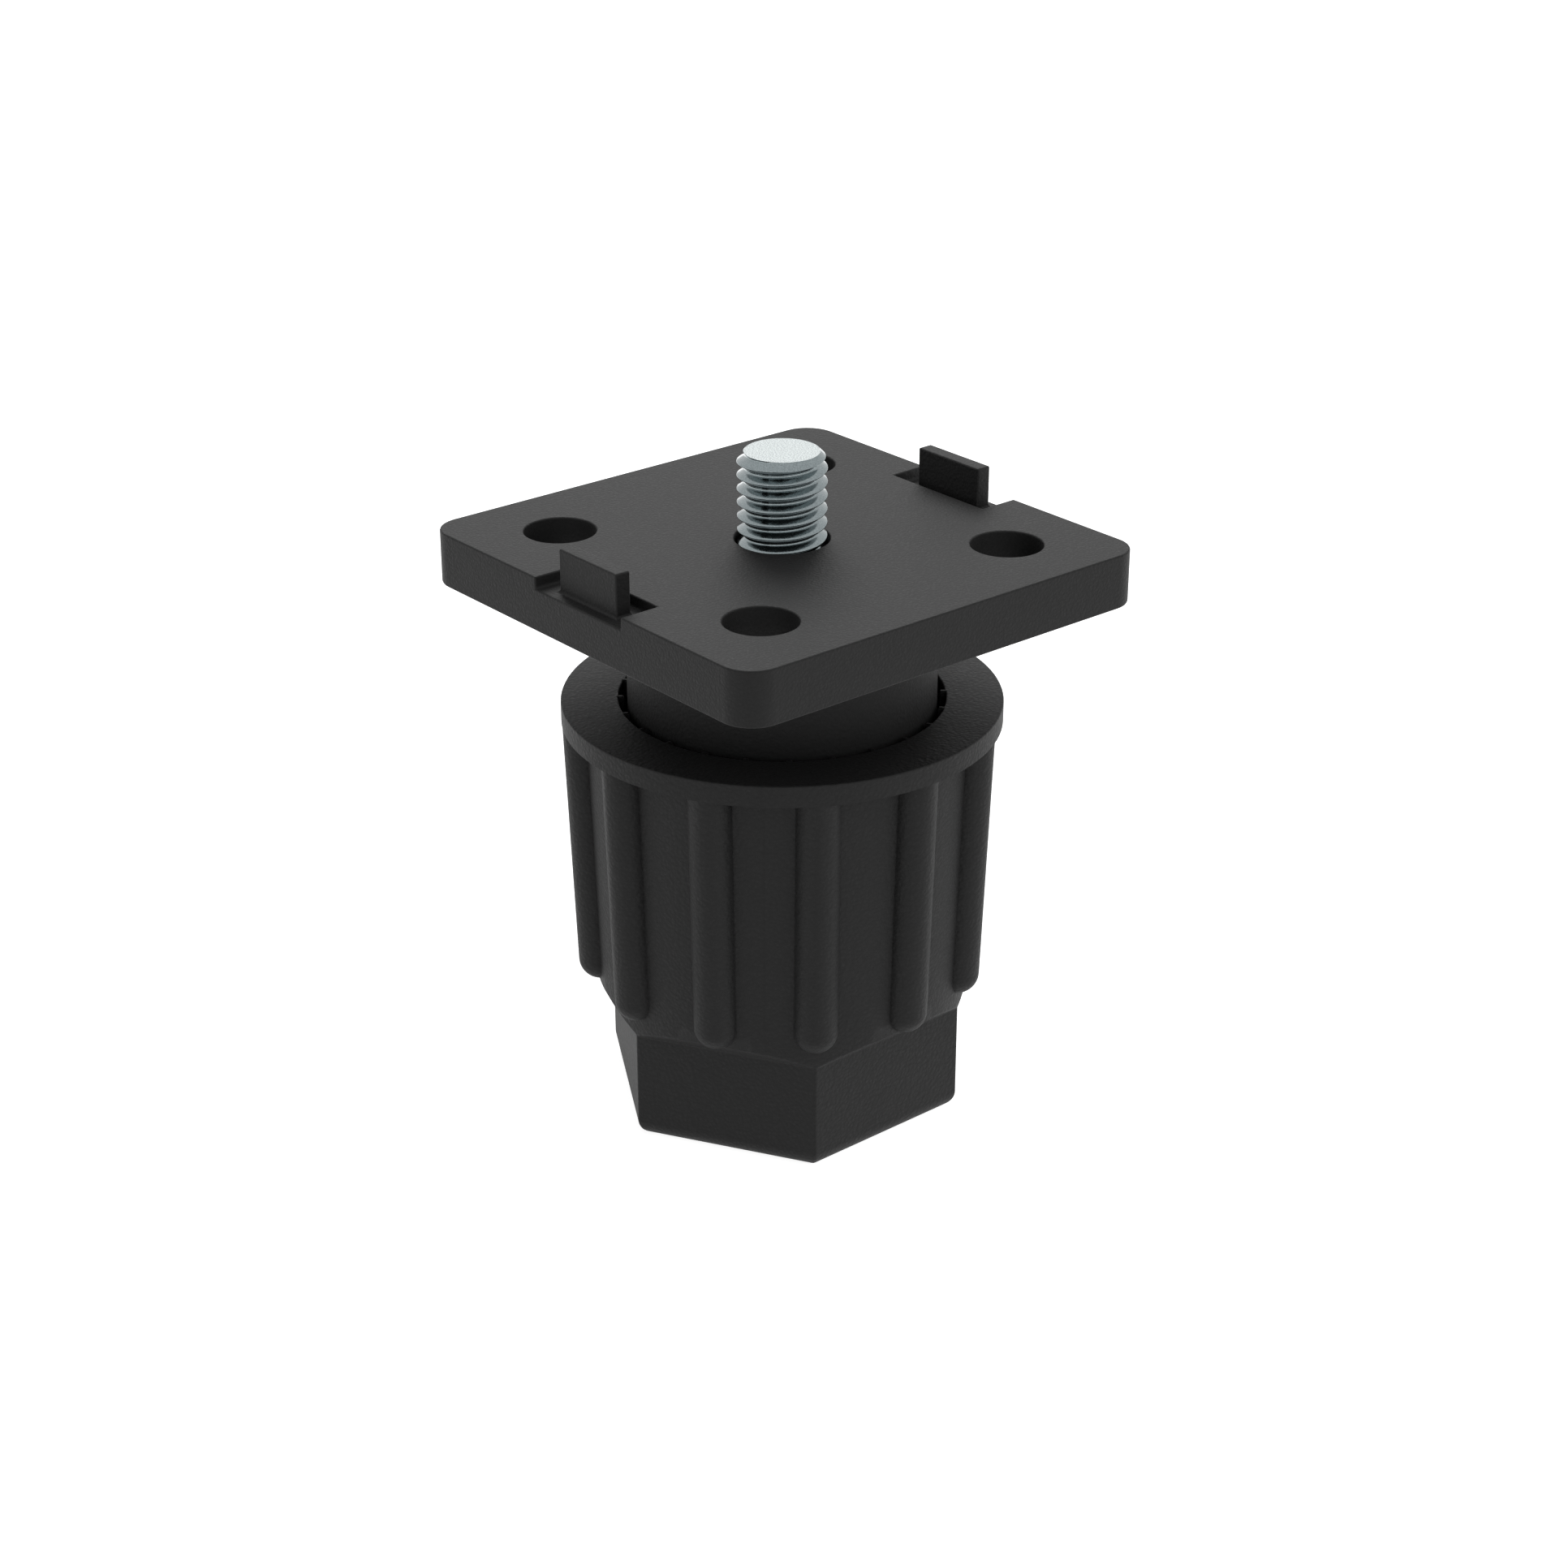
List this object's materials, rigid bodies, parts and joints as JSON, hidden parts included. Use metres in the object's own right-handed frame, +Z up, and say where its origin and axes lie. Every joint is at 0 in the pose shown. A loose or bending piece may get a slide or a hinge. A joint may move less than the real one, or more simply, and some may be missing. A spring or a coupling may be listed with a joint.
{
  "type": "adjustable cabinet leg",
  "caption": "Short adjustable cabinet leg: square screw-on plate with locating tabs, threaded stud, and a ribbed plastic foot with a hexagonal base that winds up and down.",
  "frame": {"origin": "centre of the hexagonal base, on the floor that the leg stands on", "axes": "+Z up along the stud; X and Y along the plate's sides, with the locating tabs at -Y and +Y and two of the hexagon's flats facing -X and +X"},
  "size_m": [0.045, 0.045, 0.063],
  "materials": {
    "black_plastic": "moulded, fine grain",
    "zinc_plated_steel": "bright zinc plating",
    "bush_brass": "turned"
  },
  "bodies": {
    "plate": {"mounting_plate": "black_plastic"},
    "bush": {"threaded_bush": "bush_brass"},
    "foot": {"foot": "black_plastic", "adjusting_stud": "zinc_plated_steel"}
  },
  "joints": [
    {"name": "foot_turn", "type": "hinge", "parent": "plate", "child": "bush", "pos_m": [0, 0, 0.042], "axis": [0, 0, 1], "range_deg": [-3600, 2736]},
    {"name": "foot_lift", "type": "slide", "parent": "bush", "child": "foot", "axis": [0, 0, 1], "range_m": [-0.0125, 0.0095]}
  ],
  "couplings": [
    {"joint": "foot_lift", "follows": "foot_turn", "m_per_rad": 0.00019894}
  ]
}
